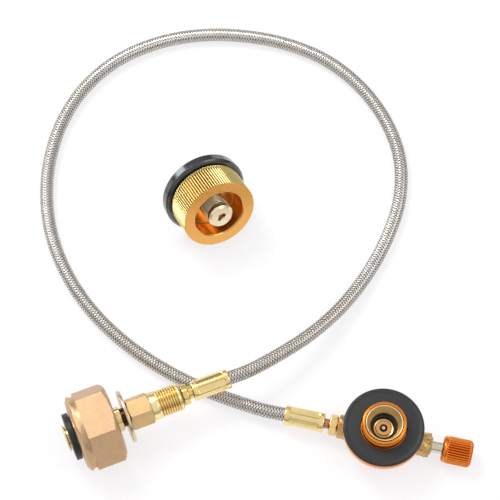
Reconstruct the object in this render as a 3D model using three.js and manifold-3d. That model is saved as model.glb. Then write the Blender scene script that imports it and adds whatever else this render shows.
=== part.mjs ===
// Gas refill hose: a tank nut connector, a braided hose and a screw-on valve head,
// with a loose nozzle adapter. Millimetres, +Z up, everything lying on z = 0.
import * as THREE from 'three';
import { mergeVertices } from 'three/addons/utils/BufferGeometryUtils.js';
import Module from 'manifold-3d';

const wasm = await Module();
wasm.setup();

// ---- driving dimensions -------------------------------------------------
const GAP = 0.3;                 // clearance left between touching pieces
const FINE = 36;                 // sides of the large turned pieces
const COARSE = 24;               // sides of the small turned pieces
const PIN_SIDES = 16;

const HOSE_RADIUS = 3;
const HOSE_SIDES = 10;
const HOSE_STEPS = 78;
const FERRULE_RADIUS = 4.1;
const FERRULE_BORE = 2.3;
const TAIL_RADIUS = 1.9;         // barbed tail inside the hose end
const PASSAGE = 1.0;             // gas passage radius in the tails
const SMALL_SEAL = 0.8;          // thickness of the two small o-rings

// Tank connector, measured along its axis from the back of the stop disc,
// negative towards the nose.
const TANK_AT = [-56.9, -43.7, 15];
const TANK_HEADING = 21.5;       // degrees from +X
const NUT_FLATS = 30;
const NUT_FRONT = -22.3;
const NUT_BACK = -5.4;
const NUT_FLOOR = -9.4;          // inside of the nut's back wall
const NUT_THREAD = 10.2;         // radius of the W21.8 female thread
const NOSE_TIP = -26.8;
const NOSE_RADIUS = 5.75;
const WASHER = [-25.3, -22.8];
const WASHER_RADIUS = 9.8;
const HEAD = [-22.5, -19.5];     // shoulder that the nut pulls on
const HEAD_RADIUS = 9.3;
const SHANK_RADIUS = 5.15;
const SPIGOT_RADIUS = 4.0;
const SPIGOT_END = 7.5;          // the nipple's spigot inside the hex adapter
const NIPPLE_BORE = 1.6;
const DISC = [-1.5, -0.1];
const DISC_RADIUS = 11;
const HEX_FLATS = 12;
const HEX = [0.2, 9.9];
const THREAD_END = 23.1;
const THREAD_RADIUS = 5.9;
const COLLAR = [23.4, 26];
const TAIL_START = 17;           // inner end of the hose tail in the hex adapter
const TAIL_SHANK = 3.2;
const NIPPLE_SEAL = 8.3;         // where the o-ring sits past the spigot
const TANK_FERRULE = [28, 43.8];

// Valve head, measured along its arm from the vertical axis of the pad,
// positive towards the knob.
const VALVE_AT = [46.6, -49.3, 0];
const VALVE_HEADING = -12.7;
const ARM_HEIGHT = 6.2;
const VALVE_FERRULE = [-40.7, -24.1];
const UNION = [-22, -18.7];
const UNION_FLATS = 8.05;
const UNION_SPIGOT_END = -14.5;  // inner end of the union's spigot and the hose tail
const UNION_SPIGOT = 3.5;
const LEFT_BOSS = -18.4;
const RIGHT_BOSS = 20.9;
const BOSS_RADIUS = 5.1;
const BODY_RADIUS = 9.5;
const BODY_TOP = 12.3;
const FLANGE = [12.6, 16.2];
const HEAD_SPIGOT = 6.5;         // screws down into the body to this height
const HEAD_SPIGOT_END = 10.2;
const PAD = [16.5, 18];
const PAD_RADIUS = 16.5;
const COLLAR_RADIUS = 9.6;
const COLLAR_TOP = 23.2;
const SOCKET_RADIUS = 5.55;      // 7/16 inch thread of the canister
const RING_RADIUS = 7.7;         // brass ring that lines the collar
const RING_FLOOR = 17;
const CORE_FLOOR = 14.6;
const CORE_WELL = 3.4;
const SPINDLE_RADIUS = 2.5;
const SPINDLE_TIP = 4;
const SPINDLE_HOLE = 2.9;
const SPINDLE_SEAL = 12.3;       // middle of the groove for its o-ring
const GLAND_START = 16.5;
const GLAND_RADIUS = 3.8;
const KNOB = [25, 37.3];
const KNOB_RADIUS = 5.6;

// Loose adapter, measured from the back of its base towards its open face.
const ADAPTER_AT = [-28.1, 56.9, 16.46];
const ADAPTER_HEADING = -62;
const ADAPTER_TILT = 23.4;       // rise of its axis above the floor
const BASE_RADIUS = 18.2;
const BASE_DEPTH = 4.8;
const SHELL_RADIUS = 16.3;
const SHELL_END = 18.5;
const RECESS_RADIUS = 10.8;
const RECESS_FLOOR = 9.5;
const POST_END = 20.6;
const POST_SHANK = 3.9;
const POST_BORE = 2.6;
const SHANK_HOLE = 4.3;          // hole for the post in the base and the shell
const BACK_RECESS = [2.6, 14];   // depth and radius of the hollow in the base
const SPRING = [3.2, 10];
const POPPET_HEAD = 10.6;

// Hose centre line between the two ferrules: [x, y, z].
const ROUTE = [
  [-15.9, -27.5, 15],
  [-8.5, -24.6, 14.9],
  [2.9, -17.9, 13.7],
  [18.1, -6.3, 10],
  [31.3, 7.5, 6],
  [42.5, 23.2, 3.6],
  [51.5, 40.4, 3.1],
  [57.3, 58.9, 3.1],
  [57.7, 78.2, 3.1],
  [51.8, 96.8, 3.1],
  [41.2, 113, 3.1],
  [26.6, 126, 3.1],
  [9, 134.3, 3.1],
  [-10.1, 138.4, 3.1],
  [-29.6, 138.8, 3.1],
  [-48.6, 134.9, 3.1],
  [-66.1, 126.2, 3.1],
  [-80.1, 112.9, 3.1],
  [-89.6, 95.9, 3.1],
  [-94.5, 77.1, 3.1],
  [-95.1, 57.6, 3.1],
  [-91.5, 38.5, 3.1],
  [-83.7, 20.6, 3.1],
  [-72.5, 4.7, 3.1],
  [-58.6, -8.8, 3.1],
  [-42.6, -20, 3.1],
  [-25.2, -29, 3.2],
  [-11, -34.9, 4.5],
  [-1.2, -38.5, 5.9],
  [6.6, -40.3, 6.2],
];

// ---- materials ----------------------------------------------------------
const finish = (color, roughness, metalness) =>
  new THREE.MeshStandardMaterial({ color, roughness, metalness });
const satinBrass = () => finish(0xdcb98c, 0.55, 0.9);
const brightBrass = () => finish(0xe0bd6a, 0.3, 1);
const castBrass = () => finish(0xc79a55, 0.6, 0.9);
const copper = () => finish(0xc08a5a, 0.35, 1);
const steel = () => finish(0xb8b2ac, 0.35, 1);
const orange = () => finish(0xe0762a, 0.35, 0.85);
const gold = () => finish(0xe3a04c, 0.35, 0.9);
const rubber = () => finish(0x37393c, 0.8, 0);
const blackGloss = () => finish(0x202126, 0.2, 0);

// ---- shape helpers ------------------------------------------------------
const AXIS_X = new THREE.Matrix4().makeRotationZ(-Math.PI / 2);
const AXIS_Z = new THREE.Matrix4().makeRotationX(Math.PI / 2);

// Turns an [along, radius] outline, which runs forward outside and back inside.
function turned(outline, axis, sides = COARSE) {
  const points = outline.map(([along, radius]) => new THREE.Vector2(radius, along));
  const closesOnAxis = outline[0][1] === 0 && outline.at(-1)[1] === 0;
  if (!closesOnAxis) points.push(points[0].clone());
  return new THREE.LatheGeometry(points, sides).applyMatrix4(axis);
}

const sleeve = (from, to, outer, inner) =>
  [[from, inner], [from, outer], [to, outer], [to, inner]];

const rod = (from, to, radius) => [[from, 0], [from, radius], [to, radius], [to, 0]];

// Round section ring around the axis, as an o-ring is.
function oRing(along, radius, thickness, axis) {
  const corners = 8;
  const outline = Array.from({ length: corners }, (_, i) => {
    const angle = (i / corners) * 2 * Math.PI;
    return [
      along - (thickness / 2) * Math.cos(angle),
      radius + (thickness / 2) * Math.sin(angle),
    ];
  });
  return turned(outline, axis);
}

// Hexagonal bar along X with two of its flats level.
function hexBar(from, to, flats) {
  const corner = flats / Math.sqrt(3);
  const shape = new THREE.Shape(
    Array.from({ length: 6 }, (_, i) => {
      const angle = (i * Math.PI) / 3;
      return new THREE.Vector2(corner * Math.cos(angle), corner * Math.sin(angle));
    }),
  );
  const bar = new THREE.ExtrudeGeometry(shape, { depth: to - from, bevelEnabled: false });
  bar.applyMatrix4(new THREE.Matrix4().makeBasis(
    new THREE.Vector3(0, 1, 0),
    new THREE.Vector3(0, 0, 1),
    new THREE.Vector3(1, 0, 0),
  ));
  return bar.translate(from, 0, 0);
}

function solid(geometry) {
  const bare = geometry.clone();
  bare.deleteAttribute('normal');
  bare.deleteAttribute('uv');
  const merged = mergeVertices(bare, 1e-4);
  return new wasm.Manifold(new wasm.Mesh({
    numProp: 3,
    vertProperties: new Float32Array(merged.attributes.position.array),
    triVerts: new Uint32Array(merged.index.array),
  }));
}

function geometryOf(manifold) {
  const mesh = manifold.getMesh();
  const geometry = new THREE.BufferGeometry();
  geometry.setAttribute('position', new THREE.BufferAttribute(mesh.vertProperties, 3));
  geometry.setIndex(new THREE.BufferAttribute(mesh.triVerts, 1));
  return geometry;
}

function piece(parent, name, geometry, material) {
  const mesh = new THREE.Mesh(geometry, material);
  mesh.name = name;
  parent.add(mesh);
  return mesh;
}

function placed(at, heading) {
  const group = new THREE.Group();
  group.position.set(...at);
  group.rotation.z = THREE.MathUtils.degToRad(heading);
  return group;
}

// ---- pieces shared by both hose ends ------------------------------------
// Sleeve pressed a little thinner between its two round ends.
function crimpedFerrule([from, to]) {
  const end = 1.6;
  const crimp = 0.25;
  const sides = 16;
  const outline = [
    [from, FERRULE_BORE],
    [from, FERRULE_RADIUS - 0.3],
    [from + 0.4, FERRULE_RADIUS],
    [from + end, FERRULE_RADIUS],
    [from + end + 0.6, FERRULE_RADIUS - crimp],
    [to - end - 0.6, FERRULE_RADIUS - crimp],
    [to - end, FERRULE_RADIUS],
    [to - 0.4, FERRULE_RADIUS],
    [to, FERRULE_RADIUS - 0.3],
    [to, FERRULE_BORE],
  ];
  return turned(outline, AXIS_X, sides);
}

// ---- tank connector -----------------------------------------------------
function couplingNut() {
  const corner = NUT_FLATS / Math.sqrt(3);
  const flat = NUT_FLATS / 2;
  const envelope = turned([
    [NUT_FRONT, 0],
    [NUT_FRONT, flat - 0.6],
    [NUT_FRONT + 1.7, corner - 0.2],
    [NUT_FRONT + 2.2, flat + 0.1],
    [NUT_FRONT + 3.4, flat + 0.1],
    [NUT_FRONT + 3.9, corner],
    [NUT_BACK - 1.6, corner],
    [NUT_BACK, flat - 0.3],
    [NUT_BACK, 0],
  ], AXIS_X, FINE);
  const hollow = turned([
    [NUT_FRONT - 1, 0],
    [NUT_FRONT - 1, NUT_THREAD + 1.5],
    [NUT_FRONT, NUT_THREAD + 0.8],
    [NUT_FRONT + 0.8, NUT_THREAD],
    [NUT_FLOOR, NUT_THREAD],
    [NUT_FLOOR, SHANK_RADIUS + 0.5],
    [NUT_BACK + 1, SHANK_RADIUS + 0.5],
    [NUT_BACK + 1, 0],
  ], AXIS_X, FINE);
  const bar = solid(hexBar(NUT_FRONT, NUT_BACK, NUT_FLATS));
  return geometryOf(bar.intersect(solid(envelope)).subtract(solid(hollow)));
}

// Thin ring behind the nipple's shoulder, which the nut bears on.
function slipRing() {
  const thickness = 1;
  const back = NUT_FLOOR - GAP;
  return turned(sleeve(back - thickness, back, HEAD_RADIUS, SHANK_RADIUS + 0.4), AXIS_X);
}

function nipple() {
  return turned([
    [NOSE_TIP, NIPPLE_BORE],
    [NOSE_TIP, NOSE_RADIUS - 0.8],
    [NOSE_TIP + 0.8, NOSE_RADIUS],
    [HEAD[0], NOSE_RADIUS],
    [HEAD[0], HEAD_RADIUS],
    [HEAD[1], HEAD_RADIUS],
    [HEAD[1], SHANK_RADIUS],
    [DISC[0] - GAP, SHANK_RADIUS],
    [DISC[0] - GAP, SPIGOT_RADIUS],
    [SPIGOT_END - 0.5, SPIGOT_RADIUS],
    [SPIGOT_END, SPIGOT_RADIUS - 0.5],
    [SPIGOT_END, NIPPLE_BORE],
  ], AXIS_X, FINE);
}

function hexAdapter() {
  const corner = HEX_FLATS / Math.sqrt(3);
  const spigotHole = SPIGOT_RADIUS + 0.35;
  const spigotDepth = NIPPLE_SEAL + 0.7;
  const waist = 1.7;
  const tailHole = TAIL_SHANK + GAP;
  const envelope = turned([
    [HEX[0], 0],
    [HEX[0], corner - 0.5],
    [HEX[0] + 0.5, corner],
    [HEX[1] - 0.6, corner],
    [HEX[1], corner - 0.7],
    [HEX[1], 0],
  ], AXIS_X);
  const threaded = turned([
    [HEX[1] - 1, 0],
    [HEX[1] - 1, THREAD_RADIUS],
    [THREAD_END - 0.8, THREAD_RADIUS],
    [THREAD_END, THREAD_RADIUS - 0.8],
    [THREAD_END, 0],
  ], AXIS_X);
  const passage = turned([
    [HEX[0] - 1, 0],
    [HEX[0] - 1, spigotHole],
    [spigotDepth, spigotHole],
    [spigotDepth, waist],
    [TAIL_START - 0.5, waist],
    [TAIL_START - 0.5, tailHole],
    [THREAD_END + 1, tailHole],
    [THREAD_END + 1, 0],
  ], AXIS_X);
  const bar = solid(hexBar(HEX[0], HEX[1], HEX_FLATS)).intersect(solid(envelope));
  return geometryOf(bar.add(solid(threaded)).subtract(solid(passage)));
}

function tankTail() {
  const neck = 2.6;
  const collar = 4.5;
  const round = 0.4;
  const end = TANK_FERRULE[1] - 0.8;
  return turned([
    [TAIL_START, PASSAGE],
    [TAIL_START, TAIL_SHANK],
    [COLLAR[0], TAIL_SHANK],
    [COLLAR[0], collar - round],
    [COLLAR[0] + round, collar],
    [COLLAR[1] - round, collar],
    [COLLAR[1], collar - round],
    [COLLAR[1], neck],
    [TANK_FERRULE[0] - GAP, neck],
    [TANK_FERRULE[0] - GAP, TAIL_RADIUS],
    [end - 1, TAIL_RADIUS],
    [end, TAIL_RADIUS - 0.4],
    [end, PASSAGE],
  ], AXIS_X);
}

function tankConnector() {
  const group = placed(TANK_AT, TANK_HEADING);
  piece(group, 'coupling_nut', couplingNut(), satinBrass());
  piece(group, 'nut_slip_ring', slipRing(), steel());
  piece(group, 'nipple', nipple(), brightBrass());
  piece(group, 'seal_washer',
    turned(sleeve(...WASHER, WASHER_RADIUS, NOSE_RADIUS + GAP), AXIS_X, FINE), rubber());
  piece(group, 'stop_disc',
    turned(sleeve(...DISC, DISC_RADIUS, SPIGOT_RADIUS + 0.4), AXIS_X, FINE), brightBrass());
  piece(group, 'hex_adapter', hexAdapter(), brightBrass());
  piece(group, 'nipple_o_ring', oRing(NIPPLE_SEAL, 3.2, SMALL_SEAL, AXIS_X), rubber());
  piece(group, 'hose_tail_tank', tankTail(), brightBrass());
  piece(group, 'ferrule_tank', crimpedFerrule(TANK_FERRULE), brightBrass());
  return group;
}

// ---- hose ---------------------------------------------------------------
function hose() {
  const centre = new THREE.CatmullRomCurve3(ROUTE.map((point) => new THREE.Vector3(...point)));
  const section = new THREE.Shape(
    Array.from({ length: HOSE_SIDES }, (_, i) => {
      const angle = (i * 2 * Math.PI) / HOSE_SIDES;
      return new THREE.Vector2(
        HOSE_RADIUS * Math.cos(angle),
        HOSE_RADIUS * Math.sin(angle),
      );
    }),
  );
  return new THREE.ExtrudeGeometry(section, { steps: HOSE_STEPS, extrudePath: centre });
}

// ---- valve head: pieces along the arm -----------------------------------
function valveTail() {
  const start = VALVE_FERRULE[0] + 0.8;
  return turned([
    [start, PASSAGE],
    [start, TAIL_RADIUS - 0.4],
    [start + 1, TAIL_RADIUS],
    [UNION_SPIGOT_END, TAIL_RADIUS],
    [UNION_SPIGOT_END, PASSAGE],
  ], AXIS_X);
}

function unionNut() {
  const corner = UNION_FLATS / Math.sqrt(3);
  const hexagon = solid(hexBar(UNION[0], UNION[1], UNION_FLATS)).intersect(solid(turned([
    [UNION[0], 0],
    [UNION[0], corner - 0.4],
    [UNION[0] + 0.4, corner],
    [UNION[1] - 0.4, corner],
    [UNION[1], corner - 0.4],
    [UNION[1], 0],
  ], AXIS_X)));
  const spigot = solid(turned(rod(UNION[1] - 1, UNION_SPIGOT_END, UNION_SPIGOT), AXIS_X));
  const bore = solid(turned(rod(UNION[0] - 1, UNION_SPIGOT_END + 1, TAIL_RADIUS + 0.4), AXIS_X));
  return geometryOf(hexagon.add(spigot).subtract(bore));
}

function glandNut() {
  return turned([
    [GLAND_START, SPINDLE_HOLE],
    [GLAND_START, GLAND_RADIUS],
    [RIGHT_BOSS + 0.2, GLAND_RADIUS],
    [RIGHT_BOSS + 0.7, GLAND_RADIUS - 0.5],
    [RIGHT_BOSS + 0.7, SPINDLE_HOLE],
  ], AXIS_X);
}

function spindle() {
  const inner = SPINDLE_RADIUS - 0.2;
  const groove = 1.6;
  const end = KNOB[1] - 2;
  return turned([
    [SPINDLE_TIP, 0],
    [SPINDLE_TIP, 0.7],
    [SPINDLE_TIP + 2.6, inner],
    [SPINDLE_SEAL - 0.7, inner],
    [SPINDLE_SEAL - 0.7, groove],
    [SPINDLE_SEAL + 0.7, groove],
    [SPINDLE_SEAL + 0.7, inner],
    [GLAND_START - 0.5, inner],
    [GLAND_START - 0.5, SPINDLE_RADIUS],
    [end, SPINDLE_RADIUS],
    [end, 0],
  ], AXIS_X);
}

function knob() {
  const round = 1;
  return turned([
    [KNOB[0], SPINDLE_RADIUS + GAP],
    [KNOB[0], KNOB_RADIUS - round],
    [KNOB[0] + round, KNOB_RADIUS],
    [KNOB[1] - round, KNOB_RADIUS],
    [KNOB[1], KNOB_RADIUS - round],
    [KNOB[1], 0],
    [KNOB[1] - 1.7, 0],
    [KNOB[1] - 1.7, SPINDLE_RADIUS + GAP],
  ], AXIS_X, FINE);
}

// ---- valve head: pieces around the upright axis -------------------------
function valveBody() {
  const along = (outline, sides) => solid(turned(outline, AXIS_X, sides));
  const upright = (outline, sides) => solid(turned(outline, AXIS_Z, sides));
  const lift = (manifold) => manifold.translate([0, 0, ARM_HEIGHT]);
  const core = upright([
    [0, 0],
    [0, BODY_RADIUS - 0.8],
    [0.8, BODY_RADIUS],
    [BODY_TOP - 0.4, BODY_RADIUS],
    [BODY_TOP, BODY_RADIUS - 0.4],
    [BODY_TOP, 0],
  ], FINE);
  const arms = lift(along([
    [LEFT_BOSS, 0],
    [LEFT_BOSS, BOSS_RADIUS - 0.4],
    [LEFT_BOSS + 0.4, BOSS_RADIUS],
    [RIGHT_BOSS - 0.5, BOSS_RADIUS],
    [RIGHT_BOSS, BOSS_RADIUS - 0.5],
    [RIGHT_BOSS, 0],
  ]));
  const gasWay = 1.4;
  const unionHole = UNION_SPIGOT + 0.4;
  const unionFloor = UNION_SPIGOT_END + GAP;
  const glandHole = GLAND_RADIUS + 0.35;
  const glandFloor = GLAND_START - GAP;
  const bore = lift(along([
    [LEFT_BOSS - 1, 0],
    [LEFT_BOSS - 1, unionHole],
    [unionFloor, unionHole],
    [unionFloor, gasWay],
    [SPINDLE_TIP - 0.4, gasWay],
    [SPINDLE_TIP + 1.2, SPINDLE_HOLE],
    [glandFloor, SPINDLE_HOLE],
    [glandFloor, glandHole],
    [RIGHT_BOSS + 1, glandHole],
    [RIGHT_BOSS + 1, 0],
  ]));
  const pocketFloor = HEAD_SPIGOT_END - GAP;
  const pocketRadius = HEAD_SPIGOT + 0.4;
  const pocket = upright([
    [ARM_HEIGHT, 0],
    [ARM_HEIGHT, 1.3],
    [pocketFloor, 1.3],
    [pocketFloor, pocketRadius],
    [BODY_TOP + 1, pocketRadius],
    [BODY_TOP + 1, 0],
  ]);
  return geometryOf(core.add(arms).subtract(bore).subtract(pocket));
}

// Flange, grooved collar and the spigot that screws into the body.
function valveHead() {
  const groove = 0.7;
  const lining = RING_RADIUS + 0.35;
  const coreHole = SOCKET_RADIUS + 0.35;
  return turned([
    [HEAD_SPIGOT_END, CORE_WELL],
    [HEAD_SPIGOT_END, HEAD_SPIGOT],
    [FLANGE[0], HEAD_SPIGOT],
    [FLANGE[0], PAD_RADIUS - 1.2],
    [FLANGE[0] + 1.2, PAD_RADIUS],
    [FLANGE[1], PAD_RADIUS],
    [FLANGE[1], COLLAR_RADIUS - 0.2],
    [COLLAR_TOP - 2.9, COLLAR_RADIUS],
    [COLLAR_TOP - 2.3, COLLAR_RADIUS - groove],
    [COLLAR_TOP - 1.7, COLLAR_RADIUS - groove],
    [COLLAR_TOP - 1.2, COLLAR_RADIUS - 0.3],
    [COLLAR_TOP, COLLAR_RADIUS - 0.5],
    [COLLAR_TOP, lining],
    [RING_FLOOR, lining],
    [RING_FLOOR, coreHole],
    [CORE_FLOOR, coreHole],
    [CORE_FLOOR, CORE_WELL],
  ], AXIS_Z, FINE);
}

function socketRing() {
  const top = COLLAR_TOP - 0.2;
  return turned([
    [RING_FLOOR + GAP, SOCKET_RADIUS],
    [RING_FLOOR + GAP, RING_RADIUS],
    [top, RING_RADIUS],
    [top, RING_RADIUS - 0.5],
    [top - 2.6, SOCKET_RADIUS],
  ], AXIS_Z, FINE);
}

// Stepped brass core that the canister's stem seats on.
function socketCore() {
  const hole = 1.3;
  const seat = CORE_FLOOR + GAP;
  const step = seat + 1.4;
  const top = step + 0.6;
  return turned([
    [HEAD_SPIGOT_END + 0.4, hole],
    [HEAD_SPIGOT_END + 0.4, 3],
    [seat, 3],
    [seat, 4.3],
    [step, 4.3],
    [step, 3.1],
    [top, 3.1],
    [top, hole],
  ], AXIS_Z);
}

function valve() {
  const group = placed(VALVE_AT, VALVE_HEADING);
  const arm = placed([0, 0, ARM_HEIGHT], 0);
  group.add(arm);
  piece(arm, 'ferrule_valve', crimpedFerrule(VALVE_FERRULE), brightBrass());
  piece(arm, 'hose_tail_valve', valveTail(), copper());
  piece(arm, 'union_nut', unionNut(), brightBrass());
  piece(arm, 'gland_nut', glandNut(), castBrass());
  piece(arm, 'spindle', spindle(), steel());
  piece(arm, 'spindle_o_ring', oRing(SPINDLE_SEAL, 2.25, SMALL_SEAL, AXIS_X), rubber());
  piece(arm, 'control_knob', knob(), orange());
  piece(group, 'valve_body', valveBody(), castBrass());
  piece(group, 'valve_head', valveHead(), orange());
  piece(group, 'support_pad',
    turned(sleeve(...PAD, PAD_RADIUS, COLLAR_RADIUS + GAP), AXIS_Z, FINE), rubber());
  piece(group, 'socket_ring', socketRing(), brightBrass());
  piece(group, 'socket_core', socketCore(), brightBrass());
  piece(group, 'socket_o_ring', oRing(15.5, 5.08, 1, AXIS_Z), rubber());
  piece(group, 'opener_pin', turned([
    [7.5, 0],
    [7.5, 0.9],
    [16.7, 0.9],
    [17.1, 0.5],
    [17.1, 0],
  ], AXIS_Z, PIN_SIDES), steel());
  return group;
}

// ---- loose adapter ------------------------------------------------------
function adapterBase() {
  return turned([
    [0, BACK_RECESS[1]],
    [0, BASE_RADIUS - 0.6],
    [0.6, BASE_RADIUS],
    [BASE_DEPTH - 0.9, BASE_RADIUS],
    [BASE_DEPTH, BASE_RADIUS - 0.9],
    [BASE_DEPTH, SHANK_HOLE],
    [BACK_RECESS[0], SHANK_HOLE],
    [BACK_RECESS[0], BACK_RECESS[1]],
  ], AXIS_Z, FINE);
}

function adapterShell() {
  const round = 0.6;
  return turned([
    [BASE_DEPTH + GAP, SHANK_HOLE],
    [BASE_DEPTH + GAP, SHELL_RADIUS],
    [SHELL_END - round, SHELL_RADIUS],
    [SHELL_END, SHELL_RADIUS - round],
    [SHELL_END, RECESS_RADIUS],
    [RECESS_FLOOR, RECESS_RADIUS - 0.6],
    [RECESS_FLOOR, SHANK_HOLE],
  ], AXIS_Z, FINE);
}

// Threaded post with a shank that clamps the shell to the base.
function adapterPost() {
  const back = 0.5;
  const bevel = 0.7;
  const mouth = 1.5;
  const boreEnd = 12;
  return turned([
    [back, POST_BORE],
    [back, POST_SHANK],
    [RECESS_FLOOR + GAP, POST_SHANK],
    [RECESS_FLOOR + GAP, SOCKET_RADIUS],
    [POST_END - bevel, SOCKET_RADIUS],
    [POST_END, SOCKET_RADIUS - bevel],
    [POST_END, mouth],
    [boreEnd, mouth],
    [boreEnd, POST_BORE],
  ], AXIS_Z);
}

function adapterPoppet() {
  const head = 2.2;
  const stem = 1.1;
  const headEnd = POPPET_HEAD + 1.1;
  const tip = POST_END - 0.5;
  return turned([
    [POPPET_HEAD, 0],
    [POPPET_HEAD, head],
    [headEnd, head],
    [headEnd, stem],
    [tip - 0.3, stem],
    [tip, stem - 0.3],
    [tip, 0],
  ], AXIS_Z, PIN_SIDES);
}

// Compression spring between the plug and the poppet's head.
function adapterSpring() {
  const [low, high] = SPRING;
  const turns = 5;
  const radius = 1.75;
  const wire = 0.25;
  const helix = new THREE.Curve();
  helix.getPoint = (t, target = new THREE.Vector3()) => {
    const angle = turns * 2 * Math.PI * t;
    return target.set(
      radius * Math.cos(angle),
      radius * Math.sin(angle),
      low + (high - low) * t,
    );
  };
  const sides = 5;
  const section = new THREE.Shape(
    Array.from({ length: sides }, (_, i) => {
      const angle = (i * 2 * Math.PI) / sides;
      return new THREE.Vector2(wire * Math.cos(angle), wire * Math.sin(angle));
    }),
  );
  const stepsPerTurn = 10;
  return new THREE.ExtrudeGeometry(section, { steps: turns * stepsPerTurn, extrudePath: helix });
}

function adapter() {
  const group = placed(ADAPTER_AT, ADAPTER_HEADING);
  const tilted = new THREE.Group();
  tilted.rotation.y = THREE.MathUtils.degToRad(90 - ADAPTER_TILT);
  group.add(tilted);
  piece(tilted, 'adapter_base', adapterBase(), blackGloss());
  piece(tilted, 'adapter_shell', adapterShell(), gold());
  piece(tilted, 'adapter_post', adapterPost(), brightBrass());
  piece(tilted, 'adapter_lock_ring',
    turned(sleeve(0.5, 2.3, 8.4, 4.2), AXIS_Z), brightBrass());
  piece(tilted, 'adapter_gasket',
    turned(sleeve(0.8, 2.3, 13.6, 9.2), AXIS_Z, FINE), rubber());
  piece(tilted, 'adapter_spring_plug',
    turned(sleeve(0.9, 2.6, 2.3, 0.8), AXIS_Z, PIN_SIDES), brightBrass());
  piece(tilted, 'adapter_spring', adapterSpring(), steel());
  piece(tilted, 'adapter_poppet', adapterPoppet(), brightBrass());
  return group;
}

// ---- assembly -----------------------------------------------------------
const assembly = new THREE.Group();
assembly.add(tankConnector(), valve(), adapter());
piece(assembly, 'hose', hose(), steel());

export default assembly;
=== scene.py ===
"""Gas hose with a tank nut, a valve head and a loose nozzle adapter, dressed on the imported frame.
Sizes in this file are in millimetres until Axis.place or MM turns them into metres."""

import math

import bpy
import numpy as np
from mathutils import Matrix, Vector, noise


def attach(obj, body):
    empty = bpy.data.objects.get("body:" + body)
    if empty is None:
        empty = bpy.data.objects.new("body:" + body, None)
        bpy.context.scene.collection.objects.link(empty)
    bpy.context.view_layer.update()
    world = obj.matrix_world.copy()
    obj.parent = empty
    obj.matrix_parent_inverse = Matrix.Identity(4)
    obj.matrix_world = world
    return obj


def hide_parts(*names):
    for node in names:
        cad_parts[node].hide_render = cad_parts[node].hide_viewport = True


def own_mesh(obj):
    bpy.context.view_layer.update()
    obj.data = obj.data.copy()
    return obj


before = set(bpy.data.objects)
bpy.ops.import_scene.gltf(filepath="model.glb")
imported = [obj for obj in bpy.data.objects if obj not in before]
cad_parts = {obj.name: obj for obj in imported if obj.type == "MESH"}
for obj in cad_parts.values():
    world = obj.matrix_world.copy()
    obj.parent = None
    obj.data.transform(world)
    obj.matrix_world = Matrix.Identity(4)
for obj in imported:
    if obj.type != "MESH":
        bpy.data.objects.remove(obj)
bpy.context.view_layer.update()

MM = 0.001
TURN = 2 * math.pi
COS_30 = math.cos(math.pi / 6)
TAN_30 = math.tan(math.pi / 6)

# ---------------------------------------------------------------- camera and light
TARGET = Vector((-0.0074, 0.0357, 0.0))
CAMERA_DISTANCE = 0.836
CAMERA_ELEVATION = math.radians(67)
SENSOR = 36.0
LENS = 140.4
FLOOR_HALF = 1.6
SKY_STRENGTH = 0.82


def aim(obj, target):
    obj.rotation_euler = (Vector(target) - obj.location).to_track_quat("-Z", "Y").to_euler()


def add_camera():
    data = bpy.data.cameras.new("camera")
    data.lens = LENS
    data.sensor_width = SENSOR
    data.clip_start = 0.01
    data.clip_end = 20
    camera = bpy.data.objects.new("camera", data)
    bpy.context.scene.collection.objects.link(camera)
    reach = CAMERA_DISTANCE
    camera.location = TARGET + Vector(
        (0, -reach * math.cos(CAMERA_ELEVATION), reach * math.sin(CAMERA_ELEVATION))
    )
    aim(camera, TARGET)
    bpy.context.scene.camera = camera


def add_softbox(name, place, size, watts):
    data = bpy.data.lights.new(name, "AREA")
    data.shape = "RECTANGLE"
    data.size, data.size_y = size
    data.energy = watts
    light = bpy.data.objects.new(name, data)
    light.location = place
    bpy.context.scene.collection.objects.link(light)
    aim(light, (TARGET.x, TARGET.y, 0.02))


def add_world():
    """A studio that is bright overhead and dim round the horizon."""
    world = bpy.data.worlds.new("studio")
    bpy.context.scene.world = world
    world.use_nodes = True
    tree = world.node_tree
    tree.nodes.clear()
    coord = tree.nodes.new("ShaderNodeTexCoord")
    split = tree.nodes.new("ShaderNodeSeparateXYZ")
    ramp = tree.nodes.new("ShaderNodeValToRGB")
    sky = tree.nodes.new("ShaderNodeBackground")
    out = tree.nodes.new("ShaderNodeOutputWorld")
    ramp.color_ramp.elements[0].position = 0.02
    ramp.color_ramp.elements[0].color = (0.10, 0.10, 0.11, 1)
    ramp.color_ramp.elements[1].position = 0.55
    ramp.color_ramp.elements[1].color = (1.0, 1.0, 1.0, 1)
    tree.links.new(coord.outputs["Generated"], split.inputs[0])
    tree.links.new(split.outputs["Z"], ramp.inputs[0])
    tree.links.new(ramp.outputs[0], sky.inputs["Color"])
    sky.inputs["Strength"].default_value = SKY_STRENGTH
    tree.links.new(sky.outputs[0], out.inputs[0])


add_camera()
add_world()
add_softbox("key", (-0.45, 0.55, 1.0), (0.42, 0.36), 5.0)
add_softbox("fill", (0.75, -0.15, 0.85), (0.35, 0.6), 1.5)
add_softbox("rim", (-0.85, 0.62, 0.30), (0.5, 0.25), 2.2)
bpy.context.scene.view_settings.view_transform = "Standard"
bpy.context.scene.view_settings.look = "None"


# ---------------------------------------------------------------- materials
def srgb(red, green, blue):
    """An eight-bit colour as linear light."""
    parts = [c / 255 for c in (red, green, blue)]
    return tuple(c / 12.92 if c <= 0.04045 else ((c + 0.055) / 1.055) ** 2.4 for c in parts)


def scaled(colour, factor):
    return tuple(min(1.0, c * factor) for c in colour)


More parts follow.
